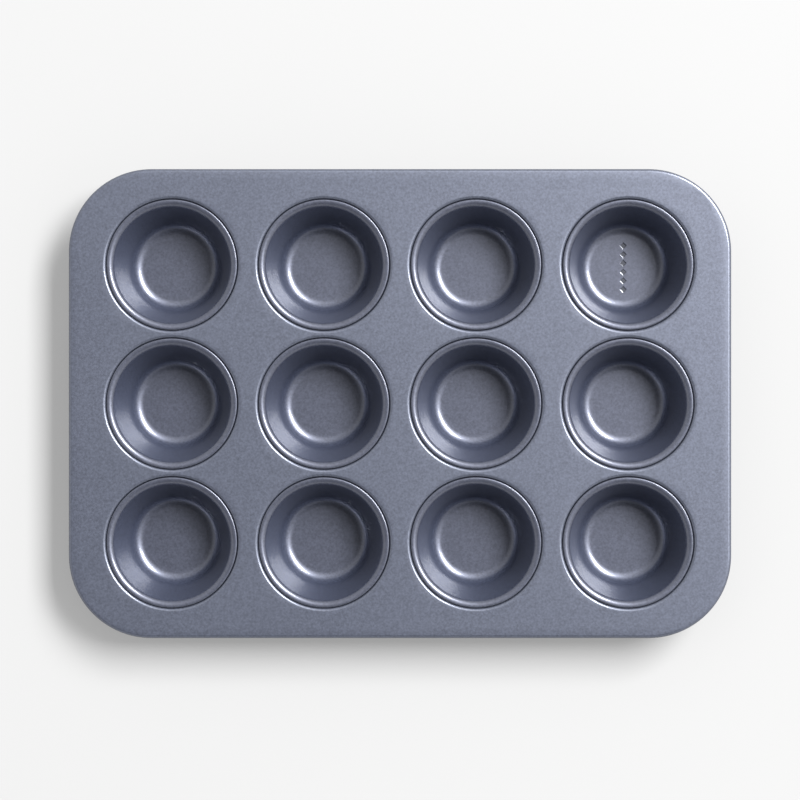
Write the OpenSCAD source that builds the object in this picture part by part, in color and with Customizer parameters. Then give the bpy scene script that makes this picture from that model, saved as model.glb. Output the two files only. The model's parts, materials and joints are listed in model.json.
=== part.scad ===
// Muffin tin with twelve cups, made of coated sheet steel.
// A punched top sheet carries twelve pressed cups, each hooked over a collar round its own hole.
// The sheet's outer edge is rolled round a steel wire that stiffens it.
// Origin: middle of the footprint, at the undersides of the cups. +X is the length, +Z is up,
// and +Y points to row a.

/* [Pan] */
// Length over the rolled edge, along X
pan_length = 401; // [390:1:430]
// Width over the rolled edge, along Y
pan_width = 284; // [280:1:310]
// Height from the cups' undersides to the top face
pan_height = 32; // [28:1:38]
// Corner radius of the outline, over the rolled edge
corner_r = 50; // [30:1:60]
// Thickness of the top sheet
sheet_t = 0.7; // [0.5:0.1:0.8]

/* [Cups] */
// Distance between cups along the length
pitch_x = 92; // [88:1:96]
// Distance between cups along the width
pitch_y = 84; // [84:1:90]
// Diameter of the mouth, where the wall meets the rounded shoulder
mouth_d = 70; // [64:1:70]
// Slope of the wall, from vertical
wall_angle = 18; // [10:1:20]
// Radius between the floor and the wall, inside
floor_fillet_r = 7.5; // [4:0.5:9]
// Thickness of the cup's metal
cup_t = 0.6; // [0.5:0.1:0.7]

/* [Seam round each cup] */
// Radius of the shoulder, where the wall turns out into the ring
shoulder_r = 3.6; // [2.4:0.1:3.6]
// Width of the flat part of the ring
ring_flat = 0.3; // [0.1:0.1:0.3]
// Radius of the curl at the ring's outer edge
curl_r = 0.8; // [0.75:0.05:0.85]
// Length of the lip below the curl
lip_length = 1.2; // [0.8:0.1:1.4]
// Drop of the ring's top below the sheet's top face
ring_drop = 0.1; // [0:0.05:0.3]
// Width of the open groove between the ring and the sheet
groove_gap = 0.2; // [0.1:0.1:0.3]
// Radius of the sheet's edge, where it rolls down into the groove
rolloff_r = 1.9; // [1.1:0.1:1.9]
// Depth of the groove below the sheet's top face
groove_depth = 3.2; // [3.2:0.1:4]

/* [Rolled edge] */
// Outer radius of the rolled edge
roll_r = 2.2; // [2:0.1:2.6]
// How far the edge wraps round the wire
roll_wrap = 300; // [270:15:300]
// Play between the wire and the roll, on the radius
wire_play = 0.1; // [0.1:0.05:0.3]
// Gap where the wire's two ends meet
wire_gap = 0.6; // [0.4:0.1:2]

/* [Floor mark] */
// Cup whose floor has the row of lozenges
marked_cup = "cup_a4"; // [cup_a1, cup_a4, cup_c1, cup_c4]
// Number of lozenges
mark_count = 6; // [3:1:7]
// Size of one lozenge, corner to corner
mark_size = 4.2; // [3:0.2:4.6]
// Distance between lozenges
mark_pitch = 5.4; // [4.8:0.2:6]
// Depth of the mark
mark_depth = 0.2; // [0.1:0.05:0.3]

/* [Hidden] */
$fn = 96;
bend_step = 15;
row_letters = ["a", "b", "c"];
rows = [0 : 2];
columns = [0 : 3];
coat_colour = [0.41, 0.45, 0.53];
wire_colour = [0.72, 0.73, 0.75];

// The cup, as radii and heights of the centres of its bends
ring_z = pan_height - ring_drop;
shoulder_c = [mouth_d / 2 + shoulder_r * cos(wall_angle), ring_z - shoulder_r];
wall_top = [mouth_d / 2, shoulder_c.y + shoulder_r * sin(wall_angle)];
wall_foot_z = cup_t + floor_fillet_r * (1 - sin(wall_angle));
wall_foot = [wall_top.x - (wall_top.y - wall_foot_z) * tan(wall_angle), wall_foot_z];
fillet_c = [wall_foot.x - floor_fillet_r * cos(wall_angle), cup_t + floor_fillet_r];
curl_c = [shoulder_c.x + ring_flat, ring_z - curl_r];
lip_z = curl_c.y - lip_length;

// The groove and the collar that the sheet forms round each cup. The collar's top meets the
// underside of the cup's shoulder.
collar_play = 0.1;
collar_chamfer = 0.3;
collar_r = curl_c.x + curl_r - cup_t - collar_play;
collar_reach = max(0, shoulder_c.x - (collar_r - sheet_t));
collar_z = shoulder_c.y + sqrt(pow(shoulder_r - cup_t, 2) - pow(collar_reach, 2));
groove_r = curl_c.x + curl_r + groove_gap;
groove_bend_r = (groove_r - collar_r) / 2;
groove_c = [collar_r + groove_bend_r, pan_height - groove_depth + groove_bend_r];
rolloff_c = [groove_r + rolloff_r, pan_height - rolloff_r];
seam_lap = 0.05;
hole_r = rolloff_c.x + seam_lap;
seam_r = hole_r + seam_lap;

// The rolled edge and its wire
roll_c = [0, pan_height - roll_r];
roll_lap = 0.5;
wire_r = roll_r - sheet_t - wire_play;

cup_names = [for (row = rows) for (column = columns) cup_name(row, column)];

function cup_name(row, column) = str("cup_", row_letters[row], column + 1);
function cup_place(row, column) = [(column - 1.5) * pitch_x, (1 - row) * pitch_y, 0];

// Points along an arc from angle a0 to angle a1
function arc(centre, r, a0, a1) =
    let (steps = ceil(abs(a1 - a0) / bend_step))
    [for (i = [0 : steps]) let (a = a0 + (a1 - a0) * i / steps) centre + r * [cos(a), sin(a)]];

function reversed(path) = [for (i = [len(path) - 1 : -1 : 0]) path[i]];

// Half section of the cup, along the face that lies d below the inside face
function cup_path(d) = concat(
    [[0, cup_t - d]],
    arc(fillet_c, floor_fillet_r + d, -90, -wall_angle),
    arc(shoulder_c, shoulder_r - d, 180 - wall_angle, 90),
    arc(curl_c, curl_r - d, 90, 0),
    [[curl_c.x + curl_r - d, lip_z]]
);

// Half section of the sheet round a cup, along the face that lies d below the top face
function seam_path(d) = concat(
    [[seam_r, pan_height - d]],
    arc(rolloff_c, rolloff_r - d, 90, 180),
    arc(groove_c, groove_bend_r + d, 0, -180)
);

// Section of the rolled edge, along the face that lies d inside the outer face
function roll_path(d) = concat(
    [[-roll_lap, pan_height - d]],
    arc(roll_c, roll_r - d, 90, 90 - roll_wrap)
);

// Sweeps a section round the outline: the section's X points outwards and its Y points up
module along_outline(inset) {
    half = [pan_length / 2, pan_width / 2];
    for (q = [0 : 3]) {
        out = q % 2;
        run = 2 * (half[1 - out] - corner_r);
        side = [half[out] - inset, run / 2, 0];
        corner = [half[out] - corner_r, half[1 - out] - corner_r, 0];
        rotate(90 * q) {
            translate(side) rotate([90, 0, 0]) linear_extrude(run) children();
            translate(corner) rotate_extrude(angle = 90) translate([corner_r - inset, 0]) children();
        }
    }
}

// The flat outline of the pan, moved in by inset
module outline(inset) {
    straight = [pan_length - 2 * corner_r, pan_width - 2 * corner_r];
    square([straight.x, pan_width - 2 * inset], center = true);
    square([pan_length - 2 * inset, straight.y], center = true);
    for (sx = [-1, 1], sy = [-1, 1])
        translate([sx * straight.x / 2, sy * straight.y / 2]) circle(r = corner_r - inset);
}

module at_cups() {
    for (row = rows, column = columns)
        translate(cup_place(row, column)) children();
}

// Groove and collar round one hole
module seam_ring() {
    collar_end = [
        [collar_r, collar_z - collar_chamfer],
        [collar_r - collar_chamfer, collar_z],
        [collar_r - sheet_t, collar_z]
    ];
    rotate_extrude() polygon(concat(seam_path(0), collar_end, reversed(seam_path(sheet_t))));
}

module floor_mark() {
    for (i = [0 : mark_count - 1])
        translate([0, (i - (mark_count - 1) / 2) * mark_pitch, cup_t - mark_depth])
            rotate(45) linear_extrude(1) square(mark_size / sqrt(2), center = true);
}

module cup_shell() {
    rotate_extrude() polygon(concat(cup_path(0), reversed(cup_path(cup_t))));
}

// The punched sheet, with a groove round each hole and its outer edge rolled over
module top_sheet() {
    color(coat_colour) {
        translate([0, 0, pan_height - sheet_t]) linear_extrude(sheet_t) difference() {
            outline(roll_r);
            at_cups() circle(r = hole_r);
        }
        at_cups() seam_ring();
        along_outline(roll_r) polygon(concat(roll_path(0), reversed(roll_path(sheet_t))));
    }
}

// The wire inside the rolled edge, with its two ends meeting at the middle of the front side
module rim_wire() {
    color(wire_colour) difference() {
        along_outline(roll_r) translate(roll_c) circle(r = wire_r);
        translate([0, -pan_width / 2, roll_c.y]) cube([wire_gap, 4 * roll_r, 4 * roll_r], center = true);
    }
}

// One pressed cup with its ring, curl and lip
module cup(name) {
    color(coat_colour) difference() {
        cup_shell();
        if (name == marked_cup) floor_mark();
    }
}

top_sheet();
rim_wire();
for (row = rows, column = columns)
    let (name = cup_name(row, column))
        translate(cup_place(row, column)) cup(name);
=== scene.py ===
# %% [markdown]
# # A twelve-cup muffin tin
#
# The tin is made of thin coated steel. A flat top sheet has twelve punched holes, and each hole holds a
# pressed cup by a seam. The sheet's outer edge is rolled round a wire. This notebook builds each of those
# pieces as a surface worked out with numpy, gives it the coating, and lights it in a small studio.
#
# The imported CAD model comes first. It stays where it is and says where everything goes: every place below
# is read from it, and every finished piece stands for one of its nodes.

# %% Load the frame
import json
import math

import bmesh
import bpy
import numpy as np
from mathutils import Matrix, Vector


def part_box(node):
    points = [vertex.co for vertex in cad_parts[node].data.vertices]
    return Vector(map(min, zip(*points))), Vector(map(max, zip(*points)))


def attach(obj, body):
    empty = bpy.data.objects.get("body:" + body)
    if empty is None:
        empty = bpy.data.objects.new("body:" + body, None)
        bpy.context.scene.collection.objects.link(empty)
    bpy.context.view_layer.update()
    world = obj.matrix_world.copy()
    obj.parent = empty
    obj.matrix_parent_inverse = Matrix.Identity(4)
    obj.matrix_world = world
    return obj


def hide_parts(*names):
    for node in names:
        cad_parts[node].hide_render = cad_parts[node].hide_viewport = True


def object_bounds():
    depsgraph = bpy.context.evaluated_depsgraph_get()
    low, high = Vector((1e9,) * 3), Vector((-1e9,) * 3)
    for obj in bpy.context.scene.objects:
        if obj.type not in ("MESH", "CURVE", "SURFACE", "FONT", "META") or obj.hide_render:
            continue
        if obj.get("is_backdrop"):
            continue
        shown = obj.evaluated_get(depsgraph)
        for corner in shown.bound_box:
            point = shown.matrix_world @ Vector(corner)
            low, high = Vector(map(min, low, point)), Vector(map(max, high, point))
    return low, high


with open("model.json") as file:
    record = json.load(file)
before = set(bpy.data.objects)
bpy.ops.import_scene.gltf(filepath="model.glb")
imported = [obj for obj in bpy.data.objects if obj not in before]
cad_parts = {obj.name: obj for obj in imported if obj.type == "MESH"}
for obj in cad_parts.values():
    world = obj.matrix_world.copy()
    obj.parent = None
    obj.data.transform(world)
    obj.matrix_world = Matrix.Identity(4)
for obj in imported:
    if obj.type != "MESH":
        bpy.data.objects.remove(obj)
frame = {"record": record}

MM = 0.001
merge_distance = 0.001 * MM
cad_low, cad_high = (np.array(corner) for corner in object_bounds())
cup_nodes = sorted(part["node"] for part in frame["record"]["subparts"] if part["node"].startswith("cup_"))
print("CAD box in mm:", (cad_low / MM).round(2), (cad_high / MM).round(2), "cups:", cup_nodes)

# %% [markdown]
# ## Turning numbers into a mesh
#
# Every piece here is a grid: rows run along a section of the metal, and columns run round it. A grid is a
# three-dimensional array of points, so one helper can join each point to its neighbours. Where two grids
# meet, or where a row closes to a single point, their points coincide, and merging them closes the surface.

# %% Helpers for grids
def grid_faces(row_count, column_count, closed, flip):
    """Corner numbers of every four-sided face of a grid. Face (i, j) joins points (i, j), (i+1, j),
    (i+1, j+1) and (i, j+1). A closed grid joins its last column to its first; flip turns the faces over."""
    joined_columns = column_count if closed else column_count - 1
    i, j = np.meshgrid(np.arange(row_count - 1), np.arange(joined_columns), indexing="ij")
    nxt = (j + 1) % column_count
    this_row, next_row = i * column_count, (i + 1) * column_count
    quads = np.stack([this_row + j, next_row + j, next_row + nxt, this_row + nxt], -1).reshape(-1, 4)
    return quads[:, ::-1] if flip else quads


def make_piece(name, grids, attributes=None):
    """Stacks grids of points, each given as (points, closed, flip), into one mesh and merges the points
    that coincide. attributes gives grids of vectors by name, which materials can read."""
    points, faces, start = [], [], 0
    for grid, closed, flip in grids:
        points.append(grid.reshape(-1, 3))
        faces.append(grid_faces(*grid.shape[:2], closed, flip) + start)
        start += len(points[-1])
    mesh = bpy.data.meshes.new(name)
    mesh.from_pydata(np.concatenate(points), [], np.concatenate(faces))
    for attribute, vectors in (attributes or {}).items():
        layer = mesh.attributes.new(attribute, "FLOAT_VECTOR", "POINT")
        layer.data.foreach_set("vector", vectors.astype(np.float32).ravel())
    work = bmesh.new()
    work.from_mesh(mesh)
    bmesh.ops.remove_doubles(work, verts=work.verts, dist=merge_distance)
    volume = work.calc_volume(signed=True)
    open_edges = sum(not edge.is_manifold for edge in work.edges)
    work.to_mesh(mesh)
    work.free()
    mesh.shade_smooth()
    piece = bpy.data.objects.new(name, mesh)
    bpy.context.scene.collection.objects.link(piece)
    triangles = sum(len(face.vertices) - 2 for face in mesh.polygons)
    print(f"{name}: {triangles} triangles, {volume / MM**3:.0f} mm3, {open_edges} open edges")
    return piece


# %% [markdown]
# ## Sections
#
# Sheet metal is drawn as bends joined by straight stretches. A section is a list of points, each a distance
# from the axis and a height. The two faces of the metal follow the same bends, with radii that differ by
# the thickness, so one function gives either face from its depth below the shown one.

# %% Bends, stretches and raw edges
def bend(centre, radius, start, end, steps):
    """Points on a circle: the centre plus the radius times the cosine and sine of evenly spaced angles."""
    angle = np.radians(np.linspace(start, end, steps + 1))
    return np.asarray(centre) + radius * np.column_stack([np.cos(angle), np.sin(angle)])


def stretch(start, end, steps):
    """Evenly spaced points strictly between two points."""
    share = np.arange(1, steps)[:, None] / steps
    return np.asarray(start) * (1 - share) + np.asarray(end) * share


# %% [markdown]
# ## The sizes of the metal
#
# The outer sizes are read from the frame. The bends are too small to be read from boxes, so they are named
# here, in the same way as in the CAD model.

# %% Sizes
sheet_low, sheet_high = (np.array(corner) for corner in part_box("top_sheet"))
first_low, first_high = (np.array(corner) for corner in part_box("cup_a1"))
last_low, last_high = (np.array(corner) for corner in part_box("cup_c4"))
middle = (cad_low + cad_high)[:2] / 2
cup_counts = np.array([4, 3])
cup_columns, cup_rows = (np.arange(count) - (count - 1) / 2 for count in cup_counts)
pitch = np.abs((last_low + last_high - first_low - first_high)[:2] / 2) / (cup_counts - 1)
sheet_top = sheet_high[2]
ring_top = first_high[2]
curl_outer_r = (first_high[0] - first_low[0]) / 2

sheet_metal = 0.7 * MM
cup_metal = 0.6 * MM
wall_angle = 18
shoulder_r = 3.6 * MM
ring_flat = 0.3 * MM
curl_r = 0.8 * MM
lip_length = 1.2 * MM
fillet_r = 7.5 * MM
groove_gap = 0.2 * MM
groove_depth = 3.2 * MM
rolloff_r = 1.9 * MM
collar_play = 0.1 * MM
corner_r = 50 * MM
roll_r = (sheet_high[2] - sheet_low[2]) / 2
roll_wrap = 300
wire_play = 0.1 * MM
wire_gap = 0.6 * MM

slope = math.radians(wall_angle)
curl_centre = np.array([curl_outer_r - curl_r, ring_top - curl_r])
shoulder_centre = np.array([curl_centre[0] - ring_flat, ring_top - shoulder_r])
wall_top = shoulder_centre + shoulder_r * np.array([-math.cos(slope), math.sin(slope)])
foot_height = cup_metal + fillet_r * (1 - math.sin(slope))
wall_foot = np.array([wall_top[0] - (wall_top[1] - foot_height) * math.tan(slope), foot_height])
fillet_centre = np.array([wall_foot[0] - fillet_r * math.cos(slope), cup_metal + fillet_r])
print("pitch", (pitch / MM).round(2), "mouth radius", round(wall_top[0] / MM, 2),
      "floor radius", round(fillet_centre[0] / MM, 2))

# %% [markdown]
# ## The pressed cups
#
# A cup is drawn from a flat disc: a punch pushes the metal through a ring, so the floor stays flat, the
# foot takes the punch's radius, and the wall tapers so that the cup comes off the punch. The edge is then
# turned out over a shoulder into a narrow ring, and curled down behind the sheet's collar.
#
# A surface of revolution is the natural way to make it. The section runs from the middle of the floor along
# the inside to the lip, round the raw edge, and back along the outside.

# %% Cup section and revolution
foot_steps, wall_steps, shoulder_steps, ring_steps, curl_steps = 7, 6, 6, 2, 4
cup_edge_steps = 6
outside_rings = 5


def cup_face(depth, floor_radii, fine):
    """One face of the cup's metal, at a depth below the inside face: floor, foot, wall, shoulder, ring,
    curl and lip. Concave bends grow by the depth and convex ones shrink by it. fine multiplies the steps."""
    floor = np.column_stack([floor_radii, np.full(len(floor_radii), cup_metal - depth)])
    foot = bend(fillet_centre, fillet_r + depth, -90, -wall_angle, foot_steps * fine)
    shoulder = bend(shoulder_centre, shoulder_r - depth, 180 - wall_angle, 90, shoulder_steps * fine)
    curl = bend(curl_centre, curl_r - depth, 90, 0, curl_steps * fine)
    wall = stretch(foot[-1], shoulder[0], wall_steps * fine)
    ring = stretch(shoulder[-1], curl[0], ring_steps)
    lip = [[curl_outer_r - depth, curl_centre[1] - lip_length + cup_metal / 2]]
    return np.concatenate([floor, foot, wall, shoulder, ring, curl, lip])


def cup_section(floor_radii):
    """The whole section: inside face, half a circle round the raw edge, and the outside face backwards."""
    edge_centre = [curl_outer_r - cup_metal / 2, curl_centre[1] - lip_length + cup_metal / 2]
    edge = bend(edge_centre, cup_metal / 2, 0, -180, cup_edge_steps)[1:-1]
    outside_floor = np.linspace(0, fillet_centre[0], outside_rings + 1)[:-1]
    return np.concatenate([cup_face(0, floor_radii, 2), edge, cup_face(cup_metal, outside_floor, 1)[::-1]])


def revolve(section, centre, segments):
    """Turns a section about an upright axis: x and y are the distance times the cosine and sine of the
    angle, and z is the height."""
    angle = np.linspace(0, 2 * np.pi, segments, endpoint=False)
    distance, height = section[:, :1], section[:, 1:]
    x = centre[0] + distance * np.cos(angle)
    y = centre[1] + distance * np.sin(angle)
    return np.stack([x, y, np.broadcast_to(height, x.shape)], -1)


def drawn_pattern(section, segments):
    """For each point: the cosine and sine of its angle, and its distance along the section in metres. The
    marks that drawing leaves follow these and not x, y and z."""
    angle = np.linspace(0, 2 * np.pi, segments, endpoint=False)
    along = np.concatenate([[0], np.cumsum(np.linalg.norm(np.diff(section, axis=0), axis=1))])
    parts = np.broadcast_arrays(np.cos(angle), np.sin(angle), along[:, None])
    return np.stack(parts, -1)


# %% [markdown]
# ### The pressed mark
#
# One cup has a mark pressed into its floor: a plain row of lozenges. It is real depth, so that cup's floor
# has closer rings and more segments, and each point sinks by how far it lies inside a lozenge.

# %% Floor mark
marked_cup = "cup_a4"
mark_count = 6
mark_size = 4.2 * MM
mark_pitch = 5.4 * MM
mark_depth = 0.2 * MM
mark_edge = 0.3 * MM


def pressed_share(grid, centre, floor_rows):
    """How far each point is pressed, from 0 to 1: on the inside of the floor, and inside the lozenges
    |x| + |y - y0| < half the size. The step is smoothed over mark_edge by 3t^2 - 2t^3, where t is the
    distance inside the outline over that width."""
    x, y = grid[:, :, 0] - centre[0], grid[:, :, 1] - centre[1]
    nearest = np.clip(np.round(y / mark_pitch - 0.5) + 0.5, -mark_count / 2 + 0.5, mark_count / 2 - 0.5)
    inside = mark_size / 2 - np.abs(x) - np.abs(y - nearest * mark_pitch)
    t = np.clip(inside / mark_edge, 0, 1)
    t[floor_rows:] = 0
    return t * t * (3 - 2 * t)


# %% [markdown]
# ### The twelve cups
#
# Every cup is the same section, turned about the middle of its own CAD box. A cup also carries its drawn
# pattern, and the marked one its mark, so that the coating can follow them.

# %% Make the cups
cup_segments, marked_segments = 160, 360
floor_rings, marked_rings = 7, 75


def pressed_cup(node):
    """One cup, standing for the CAD node of the same name."""
    low, high = (np.array(corner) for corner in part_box(node))
    centre = (low + high)[:2] / 2
    marked = node == marked_cup
    segments = marked_segments if marked else cup_segments
    rings = marked_rings if marked else floor_rings
    floor_radii = np.linspace(0, fillet_centre[0], rings + 1)[:-1]
    section = cup_section(floor_radii)
    grid = revolve(section, centre, segments)
    attributes = {"drawn": drawn_pattern(section, segments)}
    if marked:
        share = pressed_share(grid, centre, len(floor_radii))
        grid[:, :, 2] -= mark_depth * share
        attributes["mark"] = np.repeat(share[:, :, None], 3, axis=2)
    piece = make_piece("pressed_" + node, [(grid, True, False)], attributes)
    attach(piece, "root")
    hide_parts(node)
    return piece


cups = [pressed_cup(node) for node in cup_nodes]

# %% [markdown]
# ## The top sheet
#
# The sheet is the hard piece: a round-cornered plate, twelve round seams and a rolled edge, all one surface.
# It splits into grids that fit each other. Each cup has a rectangular cell. Its rows run from the cell's
# edge in to the hole, down the groove, up the collar and back along the underside. The cells' outer edges
# make a rectangle, and one more grid runs from it out to the rolled edge, round the wire and back.

# %% The seam's section
rolloff_steps, groove_steps, sheet_edge_steps = 4, 5, 5
collar_r = curl_outer_r - cup_metal - collar_play
groove_r = curl_outer_r + groove_gap
groove_bend_r = (groove_r - collar_r) / 2
groove_centre = [collar_r + groove_bend_r, sheet_top - groove_depth + groove_bend_r]
rolloff_centre = [groove_r + rolloff_r, sheet_top - rolloff_r]
collar_reach = shoulder_centre[0] - (collar_r - sheet_metal)
collar_top = shoulder_centre[1] + math.sqrt((shoulder_r - cup_metal)**2 - collar_reach**2)
print("groove from", round(collar_r / MM, 2), "to", round(groove_r / MM, 2), "mm from each cup's axis")


def seam_face(depth, fine):
    """One face of the sheet round a hole: the roll-off into the groove, the bend under the ring, and the
    collar up to the start of its raw edge. fine multiplies the steps."""
    rolloff = bend(rolloff_centre, rolloff_r - depth, 90, 180, rolloff_steps * fine)
    groove = bend(groove_centre, groove_bend_r + depth, 0, -180, groove_steps * fine)
    collar = [[collar_r - depth, collar_top - sheet_metal / 2]]
    return np.concatenate([rolloff, groove, collar])


def seam_section():
    """Top face from the roll-off to the collar, its raw edge, and the underside backwards."""
    edge_centre = [collar_r - sheet_metal / 2, collar_top - sheet_metal / 2]
    edge = bend(edge_centre, sheet_metal / 2, 0, 180, sheet_edge_steps)
    return np.concatenate([seam_face(0, 2), edge[1:-1], seam_face(sheet_metal, 1)[::-1]])


# %% [markdown]
# ### The cells
#
# A ray from the hole's middle crosses the cell's edge at one point, and that ray is one column of the grid.
# Neighbouring cells have the same points on the edge they share, so the merge joins them without a seam.
# Both kinds of grid fold the metal in the same way: over the flat, through a section, and back underneath.

# %% Cells
side_steps, end_steps = 36, 32
cell_land_steps = (4, 2)


def flat_rows(edge, line, steps):
    """Rows of a flat stretch: the edge times (1 - s) plus the line times s, for evenly spaced shares s from
    0 up to the last before 1."""
    return [edge * (1 - s) + line * s for s in np.linspace(0, 1, steps + 1)[:-1]]


def folded_sheet(edge, line, plan, heights, land_steps):
    """The sheet's metal from an edge over the flat to a line, through a section whose points have the given
    plan and heights, and back along the underside to the same edge."""
    over, under = (flat_rows(edge, line, steps) for steps in land_steps)
    plan = np.concatenate([over, plan, under[::-1]])
    heights = np.concatenate([np.full(len(over), sheet_top), heights,
                              np.full(len(under), sheet_top - sheet_metal)])
    return np.concatenate([plan, np.broadcast_to(heights[:, None, None], plan.shape[:2] + (1,))], axis=-1)


def cell_rays():
    """Angles round a hole, evenly spaced within each side of its cell and meeting the cell's corners, and
    the point where each ray crosses the cell's edge: the ray's direction over the larger of its x and y
    shares of the half sizes."""
    corner = math.atan2(pitch[1], pitch[0])
    turns = [-corner, corner, math.pi - corner, math.pi + corner, 2 * math.pi - corner]
    steps = [end_steps, side_steps] * 2
    angle = np.concatenate([np.linspace(*side, endpoint=False) for side in zip(turns, turns[1:], steps)])
    ray = np.column_stack([np.cos(angle), np.sin(angle)])
    reach = np.max(np.abs(ray) / (pitch / 2), axis=1)
    return ray, ray / reach[:, None]


def sheet_cell(centre):
    """The sheet's part of one cell: flat to the circle where the roll-off starts, and then the seam's
    section, whose rows are circles."""
    ray, edge = cell_rays()
    section = seam_section()
    plan = section[:, None, :1] * ray
    grid = folded_sheet(edge, ray * rolloff_centre[0], plan, section[:, 1], cell_land_steps)
    return grid + [*centre, 0]


# %% [markdown]
# ### The rolled edge
#
# The outer rectangle's points are the cells' own edge points, in order round it, so that the merge finds
# them. Pulling a point in to the box between the corner arcs' centres gives the direction in which the rim
# lies: straight out along the sides, and fanned round the corners.

# %% Rolled edge
outer_roll_steps, inner_roll_steps = 26, 16
rim_land_steps = (3, 2)


def outer_rectangle():
    """Points round the rectangle that the cells fill, anticlockwise from the middle of its front side."""
    _, edge = cell_rays()
    right = edge[:end_steps]
    upper = edge[end_steps:end_steps + side_steps]
    side_y = np.concatenate([right[:, 1] + pitch[1] * row for row in cup_rows])
    side_x = np.concatenate([upper[:, 0] + pitch[0] * column for column in cup_columns[::-1]])
    half = pitch * cup_counts / 2
    east = np.column_stack([np.full(len(side_y), half[0]), side_y])
    north = np.column_stack([side_x, np.full(len(side_x), half[1])])
    ring = np.concatenate([east, north, -east, -north])
    from_front = np.where(ring[:, 1] < 0, np.abs(ring[:, 0]), np.inf)
    return np.roll(ring, -int(np.argmin(from_front)), axis=0)


def rim_line(inset):
    """For each point of the outer rectangle: the nearest point of the pan's outline moved in by inset, and
    the direction straight out of the outline there."""
    ring = outer_rectangle()
    arc_centres = (cad_high - cad_low)[:2] / 2 - corner_r
    anchor = np.clip(ring, -arc_centres, arc_centres)
    out = (ring - anchor) / np.linalg.norm(ring - anchor, axis=1)[:, None]
    return ring, anchor + out * (corner_r - inset), out


def roll_section():
    """Distance beyond the wire's line and height: the outer face clockwise round the wire, half a circle
    round the raw edge, and the inner face back. The raw edge ends where the wrap does."""
    centre = np.array([0, sheet_top - roll_r])
    mean_r = roll_r - sheet_metal / 2
    last = 90 - roll_wrap + math.degrees(sheet_metal / 2 / mean_r)
    outer = bend(centre, roll_r, 90, last, outer_roll_steps)
    inner = bend(centre, roll_r - sheet_metal, last, 90, inner_roll_steps)
    tip = centre + mean_r * np.array([math.cos(math.radians(last)), math.sin(math.radians(last))])
    edge = bend(tip, sheet_metal / 2, last, last - 180, sheet_edge_steps)
    return np.concatenate([outer, edge[1:-1], inner])


def sheet_rim():
    """The band from the cells out to the roll, the roll itself and the underside back to the cells."""
    ring, line, out = rim_line(roll_r)
    section = roll_section()
    plan = line + section[:, None, :1] * out
    return folded_sheet(ring, line, plan, section[:, 1], rim_land_steps) + [*middle, 0]


cell_centres = [middle + pitch * [column, row] for row in cup_rows for column in cup_columns]
sheet_grids = [(sheet_cell(centre), True, True) for centre in cell_centres] + [(sheet_rim(), True, False)]
sheet = make_piece("punched_sheet", sheet_grids)
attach(sheet, "root")
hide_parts("top_sheet")

# %% [markdown]
# ## The wire
#
# The wire lies inside the roll and follows the same line. It is one length, bent to the outline, whose ends
# meet at the middle of the front side. A circle carried along the line makes it, and two rows that shrink
# to a point close each end.

# %% Rim wire
wire_sides = 16
wire_end_share = 0.85


def carried_wire():
    """A circle of points in the plane of the outward direction and the upright, at each point of the
    line. Its radius falls to nothing over the two end rows."""
    _, line, out = rim_line(roll_r)
    line, out = np.concatenate([line, line[:1]]), np.concatenate([out, out[:1]])
    line[[0, -1], 0] = wire_gap / 2, -wire_gap / 2
    radius = roll_r - sheet_metal - wire_play
    place = np.concatenate([[0, 0], np.arange(len(line)), [len(line) - 1] * 2])
    size = np.full(len(place), radius)
    size[[0, -1]] = 0
    size[[1, -2]] = wire_end_share * radius
    angle = np.linspace(0, 2 * np.pi, wire_sides, endpoint=False)
    plan = line[place][:, None, :] + (size[:, None] * np.cos(angle))[:, :, None] * out[place][:, None, :]
    height = sheet_top - roll_r + size[:, None] * np.sin(angle)
    return np.concatenate([plan + middle, height[:, :, None]], axis=-1)


wire = make_piece("bent_wire", [(carried_wire(), True, False)])
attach(wire, "root")
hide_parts("rim_wire")

# %% [markdown]
# ## Finishes
#
# Shader maths reads best as maths. The small class below wraps a node's output and gives it Python's
# operators, so `1 - mask * 0.3` adds the Math nodes that it says. One method adds every other node.

# %% Shader helpers
class Signal:
    """A node's output that can be used in expressions."""

    def __init__(self, finish, socket):
        self.finish = finish
        self.socket = socket

    def _math(self, operation, first, second):
        """Adds the Math node for one operation."""
        return self.finish.add("Math", {"operation": operation}, {0: first, 1: second})

    def __add__(self, other):
        return self._math("ADD", self, other)

    def __sub__(self, other):
        return self._math("SUBTRACT", self, other)

    def __rsub__(self, other):
        return self._math("SUBTRACT", other, self)

    def __mul__(self, other):
        return self._math("MULTIPLY", self, other)

    __radd__ = __add__
    __rmul__ = __mul__


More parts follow.
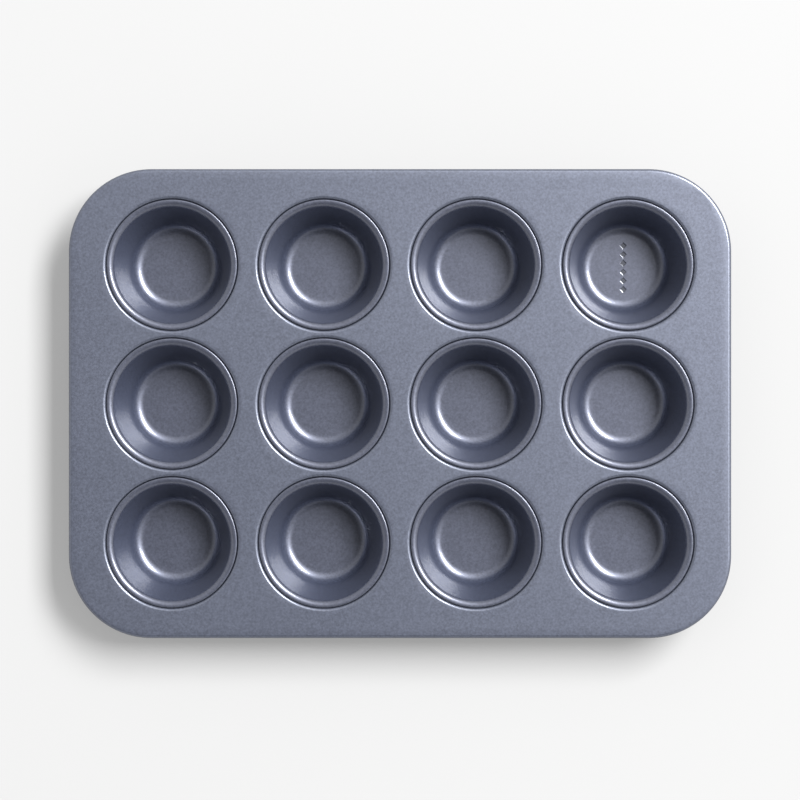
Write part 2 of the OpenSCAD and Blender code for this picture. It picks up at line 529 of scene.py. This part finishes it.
class Finish:
    """The nodes of a material, or of the room's light, under construction."""

    def __init__(self, owner):
        self.owner = owner
        self.owner.use_nodes = True
        self.tree = owner.node_tree
        self.tree.nodes.clear()

    def add(self, kind, settings=None, inputs=None, output=0):
        """Adds a node. Its settings are set first, then its sockets take values or links."""
        node = self.tree.nodes.new("ShaderNode" + kind)
        for name, value in (settings or {}).items():
            setattr(node, name, value)
        for name, value in (inputs or {}).items():
            if isinstance(value, Signal):
                self.tree.links.new(value.socket, node.inputs[name])
            else:
                node.inputs[name].default_value = value
        return Signal(self, node.outputs[output]) if node.outputs else None

    def mix_colours(self, share, first, second):
        """The first colour where share is 0 and the second where it is 1."""
        return self.add("Mix", {"data_type": "RGBA"}, {0: share, 6: first, 7: second}, output=2)

    def scale(self, vector, factors):
        """The vector with each of its parts times its own factor."""
        return self.add("VectorMath", {"operation": "MULTIPLY"}, {0: vector, 1: factors})

    def noise(self, vector, scale, detail=2.0, roughness=0.5):
        """Noise about 0.5. A rougher noise has stronger fine detail."""
        inputs = {"Vector": vector, "Scale": scale, "Detail": detail, "Roughness": roughness}
        return self.add("TexNoise", None, inputs)

    def step(self, value, start, end, first=0.0, last=1.0):
        """The first number below start, the last above end, and a smooth change between."""
        inputs = {"Value": value, "From Min": start, "From Max": end, "To Min": first, "To Max": last}
        return self.add("MapRange", {"interpolation_type": "SMOOTHSTEP"}, inputs)

    def show(self, shader, output="OutputMaterial"):
        """Sends the shader to the output node and hands back the material or the room."""
        self.add(output, None, {"Surface": shader})
        return self.owner


def rgb(red, green, blue):
    """A colour given in the usual 0 to 255 steps, made linear, with full alpha."""
    share = np.array([red, green, blue]) / 255
    linear = np.where(share <= 0.04045, share / 12.92, ((share + 0.055) / 1.055) ** 2.4)
    return (*linear.tolist(), 1.0)


# %% [markdown]
# ### The slate-blue coating
#
# The coating is a baked non-stick enamel: blue-grey pigment and fine metal flakes in a clear binder. The
# pigment scatters a little light evenly, the flakes give a broad sheen and a fine grain, and the skin of
# binder gives the sharper glints along the bends. So the base is partly metal and partly pigment, with a
# fleck in its colour and roughness, and a smooth coat lies over it.
#
# The cups are painted a little darker than the sheet, which is painted shade in the cups. The walls are
# painted bluer and darker, which is painted shade on the walls, and the pressed mark is painted darkest,
# which is painted shade in the mark. Drawing leaves fine rings round the wall, and short radial lines where
# the metal is gathered into the ring. The distance along the section says where each is.
# A noise's scale is its number of features along a metre.

# %% Coating
sheet_slate = np.array([0.060, 0.068, 0.096])
# The cups' tone is darker than the sheet's: painted shade in the cups.
cup_tone_painted_shade = np.array([0.047, 0.052, 0.075])
# Bluer and darker than the sheet's tone: painted shade on the cup walls.
wall_tone_painted_shade = np.array([0.048, 0.057, 0.092])
# The darkest tone: painted shade in the pressed mark.
mark_tone_painted_shade = np.array([0.021, 0.024, 0.034])
fleck_spread = 0.42
flake_share = 0.6
base_roughness, fleck_roughness, cloud_roughness = 0.42, 0.12, 0.04
sheet_gloss, cup_gloss = 1.0, 0.8
skin_weight, skin_roughness, skin_ior = 0.48, 0.15, 1.5
fleck_scale, fleck_fineness = 740, 0.6
cloud_scale = 14
grain_scale, grain_height = 1500, 0.6
ripple_scale, ripple_height = 260, 0.8
rings_scale, rings_height = (1.0, 1.0, 2600.0), 0.4
lines_scale = (60.0, 60.0, 60.0)
wall_calm = 0.8
bump_strength, bump_distance = 0.35, 0.02 * MM
floor_radius = fillet_centre[0]
foot_end = floor_radius + fillet_r * math.radians(90 - wall_angle)
ring_start = foot_end + np.linalg.norm(wall_top - wall_foot)


def flecked(finish, fleck, slate):
    """A slate tone with the fleck in it: darker and lighter by fleck_spread."""
    dark, light = slate * (1 - fleck_spread), slate * (1 + fleck_spread)
    return finish.mix_colours(fleck, (*dark, 1.0), (*light, 1.0))


def painted_shade_and_drawn_marks(finish, fleck, colour, height):
    """What the coating's colour and height become on a cup: painted shade that makes the wall bluer and
    darker and the mark darkest, with fine rings round the wall and radial lines on the ring."""
    marks = finish.add("Attribute", {"attribute_name": "drawn"}, output=1)
    mark = finish.add("Attribute", {"attribute_name": "mark"}, output=2)
    along = finish.add("SeparateXYZ", None, {"Vector": marks}, output=2)
    on_wall = finish.step(along, floor_radius, foot_end)
    on_ring = finish.step(along, ring_start, ring_start + shoulder_r / 2)
    # Painted shade: the wall takes a bluer, darker tone.
    colour = finish.mix_colours(on_wall * (1 - on_ring), colour, flecked(finish, fleck, wall_tone_painted_shade))
    # Painted shade: the pressed mark takes the darkest tone.
    colour = finish.mix_colours(mark, colour, (*mark_tone_painted_shade, 1.0))
    rings = finish.noise(finish.scale(marks, rings_scale), 1.0)
    lines = finish.noise(finish.scale(marks, lines_scale), 1.0)
    height = height * (1 - wall_calm * on_wall) + rings * on_wall * rings_height + lines * on_ring
    return colour, height


def coating(name, drawn):
    """The coating's material. drawn gives it a cup's tones, which carry painted shade, and the marks that
    follow a cup's section.
    """
    finish = Finish(bpy.data.materials.new(name))
    place = finish.add("TexCoord", output=3)
    fleck = finish.noise(place, fleck_scale, roughness=fleck_fineness)
    cloud = finish.noise(place, cloud_scale)
    roughness = base_roughness + (fleck - 0.5) * fleck_roughness + (cloud - 0.5) * cloud_roughness
    grain, ripple = finish.noise(place, grain_scale), finish.noise(place, ripple_scale)
    height = grain * grain_height + ripple * ripple_height
    # A cup's base tone is darker than the sheet's: painted shade in the cups.
    colour = flecked(finish, fleck, cup_tone_painted_shade if drawn else sheet_slate)
    if drawn:
        colour, height = painted_shade_and_drawn_marks(finish, fleck, colour, height)
    bumped = finish.add("Bump", None, {
        "Strength": bump_strength, "Distance": bump_distance, "Height": height})
    shader = finish.add("BsdfPrincipled", None, {
        "Base Color": colour, "Metallic": flake_share, "Roughness": roughness, "Normal": bumped,
        "Specular IOR Level": cup_gloss if drawn else sheet_gloss,
        "Coat Weight": skin_weight, "Coat Roughness": skin_roughness, "Coat IOR": skin_ior})
    return finish.show(shader)


sheet.data.materials.append(coating("slate_coating_sheet", drawn=False))
cup_material = coating("slate_coating_cup", drawn=True)
for cup in cups:
    cup.data.materials.append(cup_material)
print("coating on the sheet and on", len(cups), "cups")

# %% [markdown]
# ### Drawn wire
#
# The wire is bright drawn steel, seen only through the slit under the rolled edge. Drawing leaves fine
# lines along its length, so a noise that changes slowly across the tin and fast with height varies its
# roughness and its tone.

# %% Wire steel
wire_dark, wire_bright = (168, 169, 171), (196, 196, 197)
wire_roughness, streak_roughness = 0.24, 0.2
streak_scale = (60.0, 60.0, 2500.0)


def drawn_steel():
    """The wire's material: bright metal between two close tones, with the streaks in its roughness."""
    finish = Finish(bpy.data.materials.new("drawn_steel"))
    place = finish.add("TexCoord", output=3)
    streak = finish.noise(finish.scale(place, streak_scale), 1.0, detail=3.0)
    colour = finish.mix_colours(streak, rgb(*wire_dark), rgb(*wire_bright))
    shader = finish.add("BsdfPrincipled", None, {
        "Base Color": colour, "Metallic": 1.0, "Roughness": wire_roughness + streak * streak_roughness})
    return finish.show(shader)


wire.data.materials.append(drawn_steel())
print("steel on the wire, with streaks", streak_scale)

# %% [markdown]
# ## The studio
#
# The tin stands on a white light table, whose top glows a little and so keeps the shadow soft. It lies a
# hair below the cups' undersides, since two faces at one height would flicker.

# %% Table
table_size = 12.0
table_gap = 0.02 * MM
table_white, table_glow = 0.199, 0.272
table_roughness = 0.9

corners = np.array([[-1, -1, 0], [1, -1, 0], [1, 1, 0], [-1, 1, 0]]) * table_size / 2
corners[:, 2] = cad_low[2] - table_gap
table_mesh = bpy.data.meshes.new("light_table")
table_mesh.from_pydata(corners, [], [[0, 1, 2, 3]])
table = bpy.data.objects.new("light_table", table_mesh)
bpy.context.scene.collection.objects.link(table)
opal = Finish(bpy.data.materials.new("opal_sheet"))
table_mesh.materials.append(opal.show(opal.add("BsdfPrincipled", None, {
    "Base Color": (table_white, table_white, table_white, 1.0), "Roughness": table_roughness,
    "Specular IOR Level": 0.0, "Emission Color": (1.0, 1.0, 1.0, 1.0), "Emission Strength": table_glow})))
table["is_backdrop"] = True
print("table", table_size, "m wide, its top at", round(corners[0, 2] / MM, 3), "mm")

# %% [markdown]
# ### The key light
#
# One large soft box stands far off to the upper right and faces the tin, so its light falls evenly on all
# the cups. It draws the long glints on the bends and the shadow at the lower left.

# %% Lights
key_direction = np.array([0.66, 0.54, 1.0])
key_distance = 8.0
key_size = (2.6, 4.8)
key_power = 2160


def soft_box(name, direction, distance, size, power):
    """A rectangular light that faces the tin from a direction."""
    data = bpy.data.lights.new(name, "AREA")
    data.shape = "RECTANGLE"
    data.size, data.size_y = size
    data.energy = power
    light = bpy.data.objects.new(name, data)
    way = direction / np.linalg.norm(direction)
    side = np.cross([0, 1, 0], way)
    side /= np.linalg.norm(side)
    up = np.cross(way, side)
    matrix = np.eye(4)
    matrix[:3, 0], matrix[:3, 1], matrix[:3, 2], matrix[:3, 3] = side, up, way, way * distance
    light.matrix_world = matrix.T.tolist()
    bpy.context.scene.collection.objects.link(light)
    print(name, size, "m,", power, "W, at", light.location.to_tuple(2))


soft_box("key_box", key_direction, key_distance, key_size, key_power)

# %% [markdown]
# ### The room
#
# The walls are pale all round and give even light. The ceiling is dark, most of all towards the front, and
# the flat faces mirror it. A direction's share along the dark one, which is their dot product, says how much
# light comes from it.

# %% Room
dark_direction = np.array([-0.15, -0.45, 1.0])
wall_light, ceiling_light = 1.28, 0.1
fade_start, fade_end = 0.66, 0.97


def room_light():
    """Light from all round: even from the walls, and falling to the ceiling's as a direction's share along
    the dark direction rises from fade_start to fade_end."""
    room = Finish(bpy.data.worlds.new("room"))
    way = room.add("TexCoord", output=0)
    axis = dark_direction / np.linalg.norm(dark_direction)
    share = room.add("VectorMath", {"operation": "DOT_PRODUCT"}, {0: way, 1: tuple(axis)}, output=1)
    light = room.step(share, fade_start, fade_end, wall_light, ceiling_light)
    return room.show(room.add("Background", None, {"Color": light}), "OutputWorld")


bpy.context.scene.world = room_light()
bpy.context.scene.view_settings.view_transform = "Standard"
print("room light from", ceiling_light, "to", wall_light)

# %% [markdown]
# ### The camera
#
# The camera looks straight down from above the middle, 2 mm towards the back. Its focal length over the
# sensor's width is its height over the width it sees, and the tin fills a stated share of that width.

# %% Camera
camera_height = 1.38
camera_offset = np.array([0.0, 2.2 * MM])
picture_share = 0.8279
sensor_width = 36

camera_data = bpy.data.cameras.new("camera")
camera = bpy.data.objects.new("camera", camera_data)
rim_height = sheet_top - roll_r
camera.location = (*(middle + camera_offset), rim_height + camera_height)
camera_data.sensor_width = sensor_width
camera_data.lens = sensor_width * picture_share * camera_height / (cad_high[0] - cad_low[0])
camera_data.clip_start, camera_data.clip_end = 0.05, 20
bpy.context.scene.collection.objects.link(camera)
bpy.context.scene.camera = camera
print("lens", round(camera_data.lens, 2))
